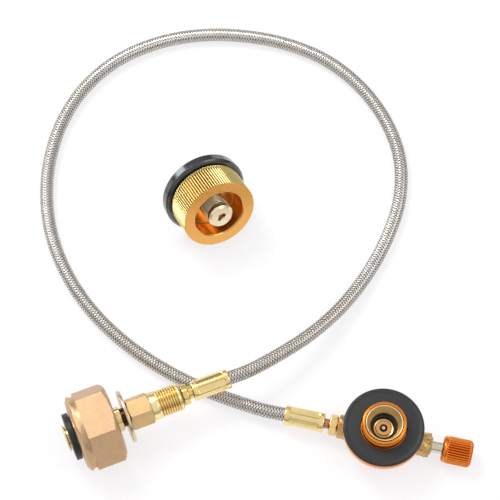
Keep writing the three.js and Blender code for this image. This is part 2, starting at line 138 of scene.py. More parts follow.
class Paint:
    """A material under construction, with one principled shader."""

    def __init__(self, name):
        self.material = bpy.data.materials.new(name)
        self.material.use_nodes = True
        self.tree = self.material.node_tree
        self.tree.nodes.clear()
        self.shader = self.add("ShaderNodeBsdfPrincipled")
        out = self.add("ShaderNodeOutputMaterial")
        self.link(self.shader.outputs[0], out.inputs[0])
        self.place = self.add("ShaderNodeTexCoord").outputs["Object"]
        self.normal = None

    def add(self, kind, **values):
        node = self.tree.nodes.new(kind)
        for key, value in values.items():
            setattr(node, key, value)
        return node

    def link(self, source, target):
        self.tree.links.new(source, target)

    def noise(self, scale, detail=3.0, where=None, rough=0.55):
        node = self.add("ShaderNodeTexNoise")
        node.inputs["Scale"].default_value = scale
        node.inputs["Detail"].default_value = detail
        node.inputs["Roughness"].default_value = rough
        self.link(where or self.place, node.inputs["Vector"])
        return node.outputs["Fac"]

    def spread(self, value, low, high, to_low=0.0, to_high=1.0):
        node = self.add("ShaderNodeMapRange")
        for socket, number in zip(node.inputs[1:5], (low, high, to_low, to_high)):
            socket.default_value = number
        self.link(value, node.inputs[0])
        return node.outputs[0]

    def mix(self, factor, one, two):
        node = self.add("ShaderNodeMix", data_type="RGBA", blend_type="MIX")
        self.link(factor, node.inputs[0])
        for socket, value in ((node.inputs[6], one), (node.inputs[7], two)):
            if isinstance(value, tuple):
                socket.default_value = (*value, 1)
            else:
                self.link(value, socket)
        return node.outputs[2]

    def multiplied(self, shade, amount):
        node = self.add("ShaderNodeMix", data_type="RGBA", blend_type="MULTIPLY")
        node.inputs[0].default_value = 1.0
        self.link(shade, node.inputs[6])
        self.link(amount, node.inputs[7])
        return node.outputs[2]

    def bump(self, height, depth):
        node = self.add("ShaderNodeBump")
        node.inputs["Strength"].default_value = 1.0
        node.inputs["Distance"].default_value = depth * MM
        self.link(height, node.inputs["Height"])
        if self.normal:
            self.link(self.normal, node.inputs["Normal"])
        self.normal = node.outputs[0]

    def lathe_place(self, axis):
        """How far a point is along an axis, and how far out from it, in metres."""
        shift = self.add("ShaderNodeVectorMath", operation="SUBTRACT")
        shift.inputs[1].default_value = axis.origin * MM
        self.link(self.place, shift.inputs[0])
        along = self.add("ShaderNodeVectorMath", operation="DOT_PRODUCT")
        along.inputs[1].default_value = axis.ahead
        self.link(shift.outputs[0], along.inputs[0])
        reach = self.add("ShaderNodeVectorMath", operation="CROSS_PRODUCT")
        reach.inputs[1].default_value = axis.ahead
        self.link(shift.outputs[0], reach.inputs[0])
        outward = self.add("ShaderNodeVectorMath", operation="LENGTH")
        self.link(reach.outputs[0], outward.inputs[0])
        return along.outputs["Value"], outward.outputs["Value"]

    def turning(self, axis, scale):
        """Noise that changes along an axis and outwards from it, as tool marks on a lathe do."""
        joined = self.add("ShaderNodeCombineXYZ")
        for value, socket in zip(self.lathe_place(axis), joined.inputs):
            self.link(value, socket)
        return self.noise(scale, 2.0, joined.outputs[0])

    def banded(self, shade, axis, bands):
        """Colours that fade in between two radii, or between two places along the axis."""
        along, outward = self.lathe_place(axis)
        for kind, start, end, colour in bands:
            fade = self.spread(outward if kind == "radius" else along, start * MM, end * MM)
            shade = self.mix(fade, shade, colour)
        return shade

    def done(self, colour, roughness):
        self.link(colour, self.shader.inputs["Base Color"])
        self.link(roughness, self.shader.inputs["Roughness"])
        if self.normal:
            self.link(self.normal, self.shader.inputs["Normal"])
        return self.material


ROUGH_SWING = 0.18
RUBBED_FROM, RUBBED_TO = 0.52, 0.62
RUBBED_LIGHTER = 1.35
# Concave places on metal are painted darker by metal(): painted shade in grooves and creases.
CREASE_SHADE_FROM, CREASE_SHADE_TO = 0.38, 0.47
CREASE_SHADE_SHARE = 0.6
CREASE_SHADE_DARKER = 0.3


def metal(name, colour, roughness, axis=None, mottle=0.08, grain=0.0, grain_scale=3500,
          lines=0.0, line_scale=9000, wear_and_shade=0.25, patch_scale=260, spots=None, speckle=0.0,
          bands=()):
    """A metal with slow colour drift, grain or turning marks, painted shade in grooves and rubbed edges.
    """
    paint = Paint(name)
    paint.shader.inputs["Metallic"].default_value = 1.0
    drift = paint.spread(paint.noise(patch_scale, 4.0), 0.3, 0.7)
    shade = paint.mix(drift, scaled(colour, 1 - mottle), scaled(colour, 1 + mottle))
    fine = paint.noise(grain_scale, 3.0)
    if speckle:
        fleck = paint.spread(fine, 0.36, 0.64, 1 - speckle, 1 + speckle)
        shade = paint.multiplied(shade, fleck)
    shade = paint.banded(shade, axis, bands) if bands else shade
    if spots:
        rare = paint.spread(paint.noise(900, 5.0, rough=0.7), 0.58, 0.72)
        shade = paint.mix(rare, shade, spots)
    # This amount sets the rubbed, lighter edges; when it is not zero, creases are also painted darker as
    # painted shade.
    if wear_and_shade:
        edge = paint.add("ShaderNodeNewGeometry").outputs["Pointiness"]
        rubbed = paint.spread(edge, RUBBED_FROM, RUBBED_TO, 0.0, wear_and_shade)
        shade = paint.mix(rubbed, shade, scaled(colour, RUBBED_LIGHTER))
        # Concave edges and creases get a darker copy of the colour: painted shade.
        stain_and_shade = paint.spread(edge, CREASE_SHADE_FROM, CREASE_SHADE_TO, CREASE_SHADE_SHARE, 0.0)
        shade = paint.mix(stain_and_shade, shade, scaled(colour, CREASE_SHADE_DARKER))
    smoothest, roughest = roughness * (1 - ROUGH_SWING), roughness * (1 + ROUGH_SWING)
    rough = paint.spread(fine, 0.25, 0.75, smoothest, roughest)
    if grain:
        paint.bump(fine, grain)
    if lines and axis:
        marks = paint.turning(axis, line_scale)
        paint.bump(marks, lines)
    return paint.done(shade, rough)


def rubber(name, colour, roughness, sheen=0.15, coat=0.0, grain=0.012):
    """A moulded black part with fine grain, faint dust, greyer edges and soft sheen."""
    paint = Paint(name)
    paint.shader.inputs["Sheen Weight"].default_value = sheen
    paint.shader.inputs["Sheen Roughness"].default_value = 0.4
    paint.shader.inputs["Coat Weight"].default_value = coat
    paint.shader.inputs["Coat Roughness"].default_value = 0.12
    cloud = paint.spread(paint.noise(180, 5.0), 0.3, 0.7)
    shade = paint.mix(cloud, scaled(colour, 0.85), scaled(colour, 1.15))
    dust_share, dust_lighter = 0.24, 2.2
    dust = paint.spread(paint.noise(2600, 2.0), 0.66, 0.78, 0.0, dust_share)
    shade = paint.mix(dust, shade, scaled(colour, dust_lighter))
    edge_share, edge_lighter = 0.4, 1.9
    edge = paint.add("ShaderNodeNewGeometry").outputs["Pointiness"]
    worn = paint.spread(edge, 0.53, 0.64, 0.0, edge_share)
    shade = paint.mix(worn, shade, scaled(colour, edge_lighter))
    fine = paint.noise(5200, 3.0)
    paint.bump(fine, grain)
    return paint.done(shade, paint.spread(fine, 0.25, 0.75, roughness * 0.85, roughness * 1.15))


# ---------------------------------------------------------------- shape helpers
def unit(vector):
    vector = np.asarray(vector, float)
    return vector / np.linalg.norm(vector)


class Axis:
    """A line through the part: ahead is its direction, and angle 0 points to one side of it."""

    def __init__(self, origin, ahead, side):
        self.origin = np.array(origin, float)
        self.ahead = unit(ahead)
        side = np.array(side, float)
        self.side = unit(side - self.ahead * float(side @ self.ahead))
        self.third = np.cross(self.ahead, self.side)

    def place(self, along, radius, angle):
        """Points in metres for distances along, radii and angles that broadcast together."""
        along, radius, angle = np.broadcast_arrays(along, radius, angle)
        across = np.cos(angle)[..., None] * self.side + np.sin(angle)[..., None] * self.third
        return (self.origin + along[..., None] * self.ahead + radius[..., None] * across) * MM


def new_object(name, points, faces, sharp=38):
    mesh = bpy.data.meshes.new(name)
    mesh.from_pydata([tuple(p) for p in points], [], faces)
    mesh.validate()
    finish_mesh(mesh, sharp)
    obj = bpy.data.objects.new(name, mesh)
    bpy.context.scene.collection.objects.link(obj)
    return obj


def finish_mesh(mesh, sharp=38):
    mesh.polygons.foreach_set("use_smooth", [True] * len(mesh.polygons))
    mesh.set_sharp_from_angle(angle=math.radians(sharp))
    mesh.update()


def skin(name, rows, ring=True, sharp=38):
    """A closed surface through rows of points, each row a loop. A ring's last row meets its first,
    and any other surface is closed by a point at each end."""
    rows = np.asarray(rows)
    count, sides = rows.shape[:2]
    points = rows.reshape(-1, 3)
    last = count if ring else count - 1
    index = np.arange(count * sides).reshape(count, sides)
    one = index[:last]
    two = index[(np.arange(last) + 1) % count]
    quads = np.stack([one, np.roll(one, -1, 1), np.roll(two, -1, 1), two], -1).reshape(-1, 4)
    faces = quads.tolist()
    if not ring:
        for row, order in ((index[0], 1), (index[-1], -1)):
            points = np.vstack([points, points[row].mean(0)])
            middle = len(points) - 1
            for a, b in zip(row, np.roll(row, -1)):
                faces.append([middle, int(b), int(a)][::order])
    corner = points[quads]
    centre = points.mean(0)
    volume = np.einsum(
        "ij,ij->i", corner[:, 0] - centre, np.cross(corner[:, 1] - centre, corner[:, 2] - centre)
    ).sum()
    if volume < 0:
        faces = [face[::-1] for face in faces]
    return new_object(name, points, faces, sharp)


def rounded(outline, radius=0.15, steps=4, ring=True):
    """The outline with each corner turned into an arc. A third number in a point is its own radius."""
    found = []
    for i, point in enumerate(outline):
        here = np.array(point[:2], float)
        own = point[2] if len(point) > 2 else radius
        if own <= 0 or (not ring and i in (0, len(outline) - 1)):
            found.append(here)
            continue
        back = np.array(outline[i - 1][:2], float) - here
        ahead = np.array(outline[(i + 1) % len(outline)][:2], float) - here
        back_length, ahead_length = np.linalg.norm(back), np.linalg.norm(ahead)
        back, ahead = back / back_length, ahead / ahead_length
        half = math.acos(max(-1.0, min(1.0, float(back @ ahead)))) / 2
        if math.pi - 2 * half < 0.2:
            found.append(here)
            continue
        cut = min(own / math.tan(half), 0.4 * back_length, 0.4 * ahead_length)
        arc = cut * math.tan(half)
        centre = here + unit(back + ahead) * arc / math.sin(half)
        start, end = here + back * cut - centre, here + ahead * cut - centre
        sweep = math.acos(max(-1.0, min(1.0, float(start @ end) / (arc * arc))))
        found.append(here + back * min(1.5 * cut, 0.48 * back_length))
        for step in range(steps + 1):
            t = step / steps
            found.append(
                centre
                + (math.sin((1 - t) * sweep) * start + math.sin(t * sweep) * end) / math.sin(sweep)
            )
        found.append(here + ahead * min(1.5 * cut, 0.48 * ahead_length))
    return np.array(found)


TIP_RADIUS = 0.02


def turned(name, axis, outline, sides=96, radius=0.15, shape=None, ring=True, sharp=38, steps=4):
    """A lathe form. shape(along, radius, angle) may give every point a new radius."""
    profile = rounded(outline, radius, steps, ring)
    angle = np.linspace(0, TURN, sides, endpoint=False)[None, :]
    along, reach = profile[:, :1], profile[:, 1:2]
    if shape:
        reach = shape(along, reach, angle)
    if not ring:
        reach = np.maximum(reach, TIP_RADIUS)
    return skin(name, axis.place(along, reach, angle), ring, sharp)


def span(start, end, radius, step):
    """Closely spaced outline points from start to end, where a thread or a ridge needs them."""
    count = max(2, int(abs(end - start) / step) + 1)
    return [(a, radius, 0) for a in np.linspace(start, end, count)]


def smooth(t):
    t = np.clip(t, 0, 1)
    return t * t * (3 - 2 * t)


CREST_SHARE = 0.14
FLANK_SHARE = 0.72


def threaded(root, crest, pitch, start, end, hand=1):
    """A screw thread on the points whose radius lies between root and crest, or close to them."""
    low, high = min(root, crest) - 0.02, max(root, crest) + 0.02

    def shape(along, radius, angle):
        phase = (along / pitch - hand * angle / TURN) % 1.0
        flank = np.clip((np.abs(2 * phase - 1) - CREST_SHARE) / FLANK_SHARE, 0, 1)
        fade = smooth((along - start) / pitch) * smooth((end - along) / pitch)
        inside = (radius >= low) & (radius <= high) & (along >= start) & (along <= end)
        return np.where(inside, crest - (crest - root) * flank * fade, radius + 0 * angle)

    return shape


def ridged(count, depth, start, end, over, run=0.4, narrow=1.6):
    """Straight ridges between two places along the axis, on points outside the radius over."""

    def shape(along, radius, angle):
        groove = (0.5 - 0.5 * np.cos(count * angle)) ** narrow
        fade = smooth((along - start) / run) * smooth((end - along) / run)
        return np.where(radius >= over, radius - depth * groove * fade, radius + 0 * angle)

    return shape


def hexagon(across, corner):
    """Angles and radii round a hexagon with rounded corners and a flat at angle 0."""
    inner = across / 2
    middle = (inner - corner) / COS_30
    tangent = math.atan2(corner / 2, middle + corner * COS_30)
    flat = (math.pi / 6 - tangent) * np.array(
        [-1, -0.98, -0.9, -0.7, -0.45, -0.2, 0, 0.2, 0.45, 0.7, 0.9, 0.98]
    )
    bend = tangent * np.array([-1, -0.72, -0.45, -0.2, 0, 0.2, 0.45, 0.72])
    flat_reach = inner / np.cos(flat)
    bend_reach = middle * np.cos(bend) + np.sqrt(corner**2 - (middle * np.sin(bend)) ** 2)
    angle = np.concatenate([flat, bend + math.pi / 6])
    reach = np.concatenate([flat_reach, bend_reach])
    angles = np.concatenate([angle + side * math.pi / 3 for side in range(6)])
    return angles, np.tile(reach, 6)


def chamfer_rows(end, inward, rim, reach, edge=0.18):
    """Rows where a cone from the circle of radius rim at end meets a hexagonal prism."""
    meet = end + inward * (reach - rim) * TAN_30
    before = reach - edge * COS_30
    return [
        (end, rim - 0.5),
        (end, rim - 0.12),
        (end + inward * 0.05, rim),
        (end + inward * (before - rim) * TAN_30, before),
        (meet + inward * 0.02, reach - 0.05),
        (meet + inward * edge, reach),
        (meet + inward * 2.2 * edge, reach),
    ]


def from_rows(name, axis, rows, angles, sharp=38):
    placed = [
        axis.place(np.broadcast_to(a, angles.shape), np.broadcast_to(r, angles.shape), angles)
        for a, r in rows
    ]
    return skin(name, placed, True, sharp)


def combined(obj, tool, operation, sharp=38):
    """Applies a boolean of tool to obj and removes tool."""
    cut = obj.modifiers.new("cut", "BOOLEAN")
    cut.operation = operation
    cut.solver = "EXACT"
    cut.object = tool
    bpy.context.view_layer.update()
    graph = bpy.context.evaluated_depsgraph_get()
    mesh = bpy.data.meshes.new_from_object(obj.evaluated_get(graph))
    obj.modifiers.clear()
    obj.data = mesh
    bpy.data.objects.remove(tool)
    finish_mesh(mesh, sharp)
    return obj


def dress(obj, material, body, slot, *nodes):
    """Gives a piece its material and its body, and hides the CAD nodes that it stands for."""
    obj.data.materials.clear()
    obj.data.materials.append(material)
    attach(obj, body)
    if nodes:
        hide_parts(*nodes)
    return obj


# ---------------------------------------------------------------- where things are
UP = (0, 0, 1)
TANK_HEADING = math.radians(21.5)
TANK = Axis((-56.9, -43.7, 15.0), (math.cos(TANK_HEADING), math.sin(TANK_HEADING), 0), UP)
ARM_HEADING = math.radians(-12.7)
ARM_AHEAD = (math.cos(ARM_HEADING), math.sin(ARM_HEADING), 0)
ARM = Axis((46.6, -49.3, 6.2), ARM_AHEAD, UP)
HEAD = Axis((46.6, -49.3, 0.0), UP, ARM_AHEAD)
ADAPTER = Axis((-28.1, 56.9, 16.46), (0.43086, -0.81033, 0.39715), UP)

ROUTE = [
    (-15.9, -27.5, 15.0), (-8.5, -24.6, 14.9), (2.9, -17.9, 13.7), (18.1, -6.3, 10.0),
    (31.3, 7.5, 6.0), (42.5, 23.2, 3.6), (51.5, 40.4, 3.1), (57.3, 58.9, 3.1),
    (57.7, 78.2, 3.1), (51.8, 96.8, 3.1), (41.2, 113.0, 3.1), (26.6, 126.0, 3.1),
    (9.0, 134.3, 3.1), (-10.1, 138.4, 3.1), (-29.6, 138.8, 3.1), (-48.6, 134.9, 3.1),
    (-66.1, 126.2, 3.1), (-80.1, 112.9, 3.1), (-89.6, 95.9, 3.1), (-94.5, 77.1, 3.1),
    (-95.1, 57.6, 3.1), (-91.5, 38.5, 3.1), (-83.7, 20.6, 3.1), (-72.5, 4.7, 3.1),
    (-58.6, -8.8, 3.1), (-42.6, -20.0, 3.1), (-25.2, -29.0, 3.2), (-11.0, -34.9, 4.5),
    (-1.2, -38.5, 5.9), (6.6, -40.3, 6.2),
]

# ---------------------------------------------------------------- hose
STEPS_A_SPAN = 40
INSIDE_FERRULE = 3.0
CARRIERS = 12
CROSSINGS_A_TURN = 2 * CARRIERS
CROSSINGS = 864
OVER_AND_UNDER = 4
LINER_SIDES = 20
BRAID_MIDDLE = 2.58
BRAID_LIFT = 0.18
WIRE_HEIGHT = 0.11
RIBBON_WIDTH = 0.79
RIBBON_DEPTH = 0.10
LINER_RADIUS = 2.26


def centripetal(points):
    """Dense points of a centripetal Catmull-Rom curve through these points."""
    points = np.array(points, float)
    first, last = 2 * points[0] - points[1], 2 * points[-1] - points[-2]
    chain = np.vstack([first, points, last])
    found = []
    for i in range(1, len(chain) - 2):
        p = chain[i - 1 : i + 3]
        knot = np.concatenate([[0], np.cumsum(np.sqrt(np.linalg.norm(np.diff(p, axis=0), axis=1)))])
        for t in np.linspace(knot[1], knot[2], STEPS_A_SPAN, endpoint=False):
            a = [
                p[j] * (knot[j + 1] - t) / (knot[j + 1] - knot[j])
                + p[j + 1] * (t - knot[j]) / (knot[j + 1] - knot[j])
                for j in range(3)
            ]
            b = [
                a[j] * (knot[j + 2] - t) / (knot[j + 2] - knot[j])
                + a[j + 1] * (t - knot[j]) / (knot[j + 2] - knot[j])
                for j in range(2)
            ]
            found.append(
                b[0] * (knot[2] - t) / (knot[2] - knot[1])
                + b[1] * (t - knot[1]) / (knot[2] - knot[1])
            )
    found.append(points[-1])
    return np.array(found)


def evenly(points, count):
    """count + 1 points at even distances along a dense line, and its length."""
    far = np.concatenate([[0], np.cumsum(np.linalg.norm(np.diff(points, axis=0), axis=1))])
    want = np.linspace(0, far[-1], count + 1)
    return np.stack([np.interp(want, far, points[:, k]) for k in range(3)], 1), far[-1]


def carried_frames(line):
    """Two directions across the line at each point, turned as little as possible on the way."""
    ahead = np.gradient(line, axis=0)
    ahead /= np.linalg.norm(ahead, axis=1)[:, None]
    side = np.zeros_like(line)
    side[0] = unit(np.cross(ahead[0], UP))
    for i in range(1, len(line)):
        side[i] = unit(side[i - 1] - ahead[i] * float(side[i - 1] @ ahead[i]))
    return side, np.cross(ahead, side)


route_line = centripetal(ROUTE)
hose_dense = np.vstack([
    route_line[0] - TANK.ahead * INSIDE_FERRULE,
    route_line,
    route_line[-1] + ARM.ahead * INSIDE_FERRULE,
])
hose_line, hose_length = evenly(hose_dense, CROSSINGS)
hose_side, hose_third = carried_frames(hose_line)


def around_hose(station, radius, angle):
    across = (
        np.cos(angle)[..., None] * hose_side[station] + np.sin(angle)[..., None] * hose_third[station]
    )
    return hose_line[station] + radius[..., None] * across


def ribbons(name, hand):
    """Every carrier that winds one way: flat bundles of three wires that pass over two and under two
    of the carriers that wind the other way."""
    wire_place = np.array([-3, -2, -1, 0, 1, 2, 3, 3, -3]) / 6
    wire_top = np.array([0.1, 1, 0.35, 1, 0.35, 1, 0.1, 0, 0]) * WIRE_HEIGHT
    wire_top[7:] = -RIBBON_DEPTH
    station = np.arange(CROSSINGS + 1)
    lead = CROSSINGS_A_TURN * hose_length / CROSSINGS
    pitch_angle = math.atan2(TURN * BRAID_MIDDLE, lead)
    wide = RIBBON_WIDTH / math.cos(pitch_angle) / BRAID_MIDDLE
    points, faces, painted_light = [], [], []
    loop = len(wire_place)
    for carrier in range(CARRIERS):
        crossing = hand * station + 2 * carrier
        over = np.sign(np.cos(TURN * (crossing - 0.5) / OVER_AND_UNDER) * hand)
        middle = crossing * TURN / CROSSINGS_A_TURN
        radius = BRAID_MIDDLE + BRAID_LIFT * over
        ends = (station < 2) | (station > CROSSINGS - 2)
        radius = np.where(ends, BRAID_MIDDLE, radius)
        angle = middle[:, None] + wide * wire_place[None, :]
        reach = radius[:, None] + wire_top[None, :]
        first = sum(len(p) for p in points)
        points.append(around_hose(station[:, None], reach, angle).reshape(-1, 3))
        # Painted light: stretches that pass under are painted dark (painted shade) and wire crests
        # lighter (painted highlight).
        on_top = np.repeat(over * 0.5 + 0.5, loop)
        on_wire = np.tile(wire_top > 0.1, len(station))
        painted_light.append(0.75 * on_top + 0.25 * on_wire)
        index = first + np.arange(len(station) * loop).reshape(-1, loop)
        one, two = index[:-1], index[1:]
        quads = np.stack([one, two, np.roll(two, -1, 1), np.roll(one, -1, 1)], -1).reshape(-1, 4)
        faces += quads.tolist()
        faces.append(index[0].tolist())
        faces.append(index[-1][::-1].tolist())
    obj = new_object(name, np.vstack(points) * MM, faces, sharp=75)
    field = obj.data.attributes.new("painted_light", "FLOAT", "POINT")
    field.data.foreach_set("value", np.concatenate(painted_light).astype(np.float32))
    return obj


def braid_steel():
    paint = Paint("braided_steel")
    paint.shader.inputs["Metallic"].default_value = 1.0
    painted_light = paint.add("ShaderNodeAttribute", attribute_name="painted_light").outputs["Fac"]
    fleck = paint.spread(paint.noise(420, 4.0), 0.3, 0.7)
    tint = paint.mix(fleck, srgb(218, 213, 207), srgb(246, 243, 239))
    stain_and_shade = paint.spread(paint.noise(60, 2.0), 0.35, 0.65, 0.0, 0.4)
    worn = paint.mix(stain_and_shade, tint, srgb(232, 222, 205))
    # Under-passing stretches take the dark colour as painted shade; wire crests on top take the full
    # steel tint as painted highlight.
    shade = paint.mix(paint.spread(painted_light, 0.3, 0.95), srgb(58, 53, 50), worn)
    fine = paint.noise(7000, 2.0)
    paint.bump(fine, 0.01)
    return paint.done(shade, paint.spread(fine, 0.25, 0.75, 0.22, 0.36))


def make_hose():
    steel = braid_steel()
    right = dress(ribbons("hose_braid_right", 1), steel, "hose_assembly", "braided_steel", "hose")
    left = dress(ribbons("hose_braid_left", -1), steel, "hose_assembly", "braided_steel")
    station = np.arange(0, CROSSINGS + 1, 3)
    angle = np.linspace(0, TURN, LINER_SIDES, endpoint=False)[None, :]
    reach = np.full((len(station), LINER_SIDES), LINER_RADIUS)
    liner = skin("hose_liner", around_hose(station[:, None], reach, angle) * MM, ring=False)
    hose_rubber = rubber("hose_rubber", srgb(34, 31, 29), 0.7, sheen=0.0)
    dress(liner, hose_rubber, "hose_assembly", "black_rubber")


make_hose()

# ---------------------------------------------------------------- finishes
satin_brass = metal("satin_brass", srgb(203, 169, 131), 0.42, grain=0.04, grain_scale=1900,
                    mottle=0.04, speckle=0.11)
tank_brass = metal("tank_brass", srgb(232, 206, 130), 0.24, TANK, lines=0.012, line_scale=7000)
disc_brass = metal("disc_brass", srgb(222, 204, 168), 0.26, TANK, lines=0.012, line_scale=7000)
flat_brass = metal("flat_brass", srgb(211, 178, 127), 0.34, grain=0.012, grain_scale=2400,
                   mottle=0.05, speckle=0.03)
# Thread roots keep the darker base colour as painted shade; the crests are banded lighter as painted
# highlight.
thread_brass = metal("thread_brass", srgb(206, 164, 92), 0.26, TANK, grain=0.006, mottle=0.05,
                     wear_and_shade=0.0, bands=[("radius", 5.45, 5.7, srgb(252, 232, 170))])
# The nipple behind the neck is banded dark brown: painted shade in the gap between the neck and the stop
# disc.
nipple_brass = metal("nipple_brass", srgb(226, 200, 142), 0.24, TANK, lines=0.012, line_scale=7000,
                     bands=[("along", -3.1, -2.8, srgb(70, 46, 26))])
ferrule_brass = metal("ferrule_brass", srgb(252, 222, 156), 0.22, grain=0.004, grain_scale=1500,
                      speckle=0.02, wear_and_shade=0.3)
copper_brass = metal("copper_brass", srgb(196, 138, 100), 0.22, ARM, lines=0.01)
cast_brass = metal("cast_brass", srgb(207, 172, 114), 0.40, grain=0.06, grain_scale=1500,
                   mottle=0.14, speckle=0.08, spots=srgb(160, 122, 70))
stem_metal = metal("stem_metal", srgb(222, 212, 190), 0.18, ARM, lines=0.008)
plain_steel = metal("plain_steel", srgb(205, 203, 198), 0.28, grain=0.008)
arm_brass = metal("arm_brass", srgb(232, 200, 138), 0.28, ARM, lines=0.012)
head_brass = metal("head_brass", srgb(255, 234, 184), 0.43, HEAD, lines=0.03, line_scale=4200)
core_brass = metal("core_brass", srgb(216, 178, 118), 0.26, HEAD, lines=0.012, line_scale=6000,
                   bands=[("radius", 3.35, 3.1, srgb(222, 164, 108))])
# head_orange: the dark base colour, left in the collar groove and on the inner faces, is painted shade;
# LIGHT_ORANGE is the anodised orange of the flange and lips.
LIGHT_ORANGE = srgb(244, 150, 56)
head_orange = metal("head_orange", srgb(138, 54, 12), 0.27, HEAD, lines=0.012, line_scale=6000,
                    mottle=0.05, wear_and_shade=0.4,
                    bands=[("radius", 8.45, 8.75, LIGHT_ORANGE), ("along", 22.2, 22.6, LIGHT_ORANGE)])
# The knob ridges are darker in their roots (base colour) as painted shade and lighter on their crests
# (band) as painted highlight.
knob_orange = metal("knob_orange", srgb(184, 80, 14), 0.28, ARM, lines=0.006, mottle=0.05, wear_and_shade=0.4,
                    bands=[("radius", 5.05, 5.5, srgb(250, 152, 62))])
# On the knurl, the dark band in the ridge roots is painted shade and the pale band on the crests is
# painted highlight.
shell_gold = metal("shell_gold", srgb(226, 162, 82), 0.24, ADAPTER, grain=0.006, mottle=0.07,
                   wear_and_shade=0.3, patch_scale=110,
                   bands=[("radius", 15.0, 15.3, srgb(122, 78, 32)),
                          ("radius", 15.7, 15.98, srgb(252, 232, 156)),
                          ("along", 18.3, 18.45, srgb(234, 175, 96))])
# The dark base colour, in the thread roots and on the parts inside, is painted shade; the crest band is
# painted highlight.
post_brass = metal("post_brass", srgb(150, 118, 70), 0.27, ADAPTER, lines=0.01,
                   bands=[("radius", 5.05, 5.4, srgb(244, 228, 188)),
                          ("along", 18.4, 18.6, srgb(250, 232, 196))])
# The poppet's dark brass colour is painted shade for a part seen deep inside the slot.
poppet_brass = metal("poppet_brass", srgb(120, 92, 48), 0.35, grain=0.006)
pad_rubber = rubber("pad_rubber", srgb(32, 34, 34), 0.45, sheen=0.25)
seal_rubber = rubber("seal_rubber", srgb(24, 25, 26), 0.45, sheen=0.1)
base_plastic = rubber("base_plastic", srgb(24, 25, 32), 0.24, sheen=0.0, coat=1.0, grain=0.004)


# ---------------------------------------------------------------- tank end
def make_nut():
    angles, reach = hexagon(30.0, 0.5)
    front, back, groove = -22.3, -5.4, 15.2
    lip = np.minimum(reach, 15.9)
    rows = chamfer_rows(front, 1, 13.9, lip)
    dip = np.minimum(reach, groove)
    rows += [
        (-20.2, lip), (-20.15, dip), (-19.9, dip), (-18.9, dip),
        (-18.65, dip), (-18.6, reach), (-18.3, reach),
    ]
    rows += [(a, reach) for a in (-16, -13, -10)]
    rows += chamfer_rows(back, -1, 14.1, reach)[::-1]
    rows += [(back, 11.0), (back, 8.0), (back, 6.2), (back - 0.08, 5.9), (back - 0.35, 5.65)]
    rows += [(-9.1, 5.65), (-9.38, 5.75), (-9.4, 6.1), (-9.4, 10.5), (-9.5, 10.8)]
    thread = threaded(10.2, 10.9, 1.81, -21.2, -10.6, hand=-1)
    for a in np.arange(-10.0, -21.4, -0.15):
        rows.append((a, thread(np.array(a), np.array(10.9), angles)))
    rows += [(-21.45, 10.55), (front + 0.05, 11.2), (front, 11.35), (front, 12.4)]
    nut = from_rows("coupling_nut_fine", TANK, rows, angles, sharp=32)
    dress(nut, satin_brass, "tank_nut", "satin_brass", "coupling_nut")


def make_tank_end():
    make_nut()
    neck = hexagon(9.5, 0.5)
    facet_angle = np.linspace(0, TURN, 96, endpoint=False)
    facets = np.interp(facet_angle, *neck, period=TURN)

    def necked(along, radius, angle):
        shown = (along > -5.3) & (along < -2.8) & (radius > 4.9)
        return np.where(shown, np.minimum(radius, facets[None, :]), radius + 0 * angle)

    nipple = turned(
        "nipple_fine", TANK,
        [(-26.8, 2.5), (-26.8, 5.2, 0.2), (-26.5, 5.65, 0.15), (-26.25, 5.65, 0.1), (-26.1, 4.7, 0.1),
         (-22.6, 4.7), (-22.5, 9.2), (-19.6, 9.2),
         (-19.5, 5.15), (-5.4, 5.15), *span(-5.2, -3.1, 5.15, 0.3), (-2.9, 5.0, 0.1), (-2.7, 3.9, 0.1),
         (7.4, 3.9), (7.4, 1.6), (-26.0, 1.6)],
        shape=necked,
    )
    dress(nipple, nipple_brass, "hose_assembly", "bright_brass", "nipple")
    washer = turned(
        "seal_washer_fine", TANK,
        [(-25.3, 6.0), (-25.3, 9.8, 0.35), (-22.8, 9.8, 0.35), (-22.8, 6.0)], radius=0.2,
    )
    dress(washer, seal_rubber, "hose_assembly", "black_rubber", "seal_washer")
    disc = turned(
        "stop_disc_fine", TANK,
        [(-1.5, 4.3), (-1.5, 11.0, 0.4), (-0.1, 11.0, 0.4), (-0.1, 4.3)],
    )
    dress(disc, disc_brass, "hose_assembly", "bright_brass", "stop_disc")

    angles, reach = hexagon(12.0, 0.3)
    rows = [(7.8, 4.3), (0.5, 4.3), (0.2, 4.6)]
    rows += [(0.2, 5.2)] + chamfer_rows(0.2, 1, 5.85, reach, 0.1)
    rows += [(a, reach) for a in (2.5, 5.0, 7.0)]
    rows += chamfer_rows(9.9, -1, 5.75, reach, 0.1)[::-1]
    rows += [(9.95, 5.6), (10.0, 5.2), (10.0, 3.6), (9.8, 3.3), (8.0, 3.2), (7.8, 3.4)]
    dress(from_rows("hex_adapter_fine", TANK, rows, angles, sharp=32),
          flat_brass, "hose_assembly", "bright_brass", "hex_adapter")
    thread = turned(
        "tank_thread_fine", TANK,
        [(9.85, 3.4), (9.85, 5.8, 0.1), (10.3, 5.88, 0.1), (12.3, 5.88), *span(12.5, 22.0, 5.88, 0.07),
         (22.5, 5.6, 0.3), (23.05, 4.9, 0.4), (23.1, 3.4)],
        sides=160, shape=threaded(5.38, 5.88, 1.05, 12.4, 22.1), sharp=60,
    )
    dress(thread, thread_brass, "hose_assembly", "bright_brass")

    def faceted(along, radius, angle):
        flats, depth = 8, 0.08
        outside = (radius > 4.1) & (along > 23.6) & (along < 25.8)
        faceted_radius = radius - depth + depth * np.cos(flats * angle)
        return np.where(outside, faceted_radius, radius + 0 * angle)

    tail = turned(
        "hose_tail_tank_fine", TANK,
        [(23.4, 1.0), (23.4, 4.1, 0.3), *span(23.7, 25.7, 4.4, 0.3), (26.0, 4.0, 0.4), (26.2, 2.6),
         (27.9, 2.5), (28.3, 1.9), (43.5, 1.9), (43.5, 1.0)],
        shape=faceted,
    )
    dress(tail, tank_brass, "hose_assembly", "bright_brass", "hose_tail_tank")


